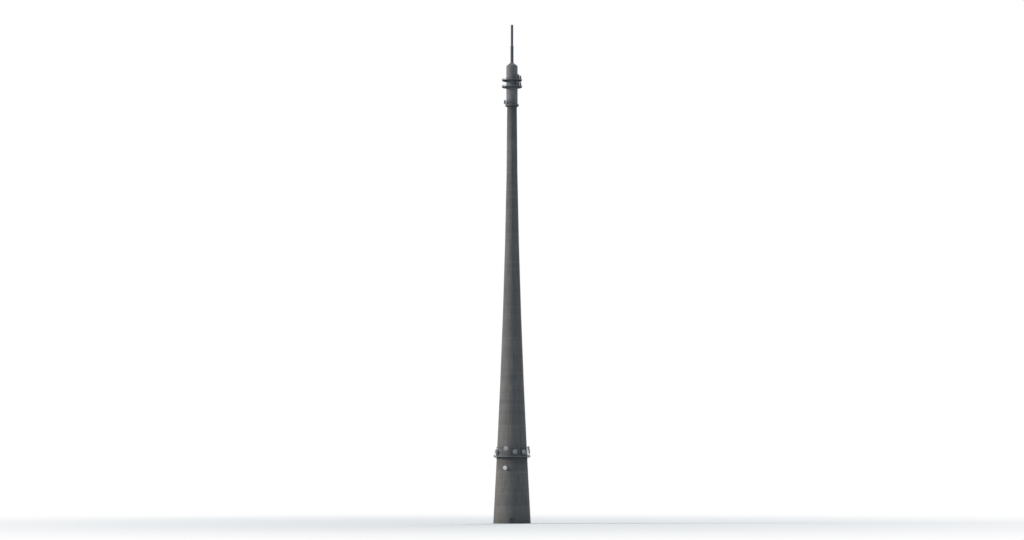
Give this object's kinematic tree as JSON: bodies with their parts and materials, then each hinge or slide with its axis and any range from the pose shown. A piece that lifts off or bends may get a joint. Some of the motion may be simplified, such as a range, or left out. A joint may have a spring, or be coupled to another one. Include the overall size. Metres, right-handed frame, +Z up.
{
  "type": "self-supporting concrete radio mast, scale model at 1:10",
  "caption": "Tall tapered concrete radio mast with ring walkways, shrouded dish aerials, a clad head and a slim two-stage aerial, as a 1:10 scale model.",
  "frame": {"origin": "middle of the foot, on the underside of the ground floor slab, at ground level", "axes": "+Z up the shaft, -Y out through the entrance, +X to the side that carries the large drums"},
  "size_m": [2.44, 2.44, 33.022],
  "materials": {
    "concrete": "weathered cast concrete with climbing-form lift lines",
    "galvanised_steel": "dull weathered galvanising",
    "door_paint": "satin dark grey-green paint",
    "dish_grey": "matt pale grey radome and shroud",
    "dish_dark": "matt dark grey shroud and face",
    "dish_white": "matt white radome and shroud",
    "head_cladding": "matt grey glass-fibre panels",
    "aerial_cladding": "matt blue-grey glass-fibre cylinders",
    "lamp_red": "red glass lamp"
  },
  "bodies": {
    "root": {"ground_floor_slab": "concrete", "shaft_base": "concrete", "shaft_lift_2": "concrete", "shaft_lift_3": "concrete", "shaft_lift_4": "concrete", "shaft_lift_5": "concrete", "shaft_lift_6": "concrete", "lower_gallery_floor": "concrete", "shaft_cap": "concrete", "lower_gallery_brackets": "galvanised_steel", "lower_gallery_deck": "galvanised_steel", "lower_gallery_railing": "galvanised_steel", "lower_gallery_cage": "galvanised_steel", "lower_gallery_dish_mounts": "galvanised_steel", "side_dish_bracket": "galvanised_steel", "head_gallery_brackets": "galvanised_steel", "head_gallery_deck": "galvanised_steel", "head_gallery_railing": "galvanised_steel", "head_gallery_dish_mounts": "galvanised_steel", "middle_gallery_brackets": "galvanised_steel", "middle_gallery_deck": "galvanised_steel", "middle_gallery_railing": "galvanised_steel", "upper_gallery_brackets": "galvanised_steel", "upper_gallery_deck": "galvanised_steel", "upper_gallery_railing": "galvanised_steel", "large_drum_mounts": "galvanised_steel", "aerial_foot": "galvanised_steel", "aerial_collar": "galvanised_steel", "head_floors": "galvanised_steel", "entrance_frame": "door_paint", "entrance_door_left": "door_paint", "entrance_door_right": "door_paint", "lower_gallery_door": "door_paint", "head_doors": "door_paint", "lower_gallery_dishes": "dish_grey", "head_gallery_dishes": "dish_dark", "large_drums": "dish_dark", "side_dish": "dish_white", "head_shell_lower": "head_cladding", "head_shell_middle": "head_cladding", "head_shell_upper": "head_cladding", "head_dome": "head_cladding", "aerial_lower": "aerial_cladding", "aerial_upper": "aerial_cladding", "aerial_cap": "aerial_cladding", "warning_lamps": "lamp_red"}
  },
  "joints": []
}
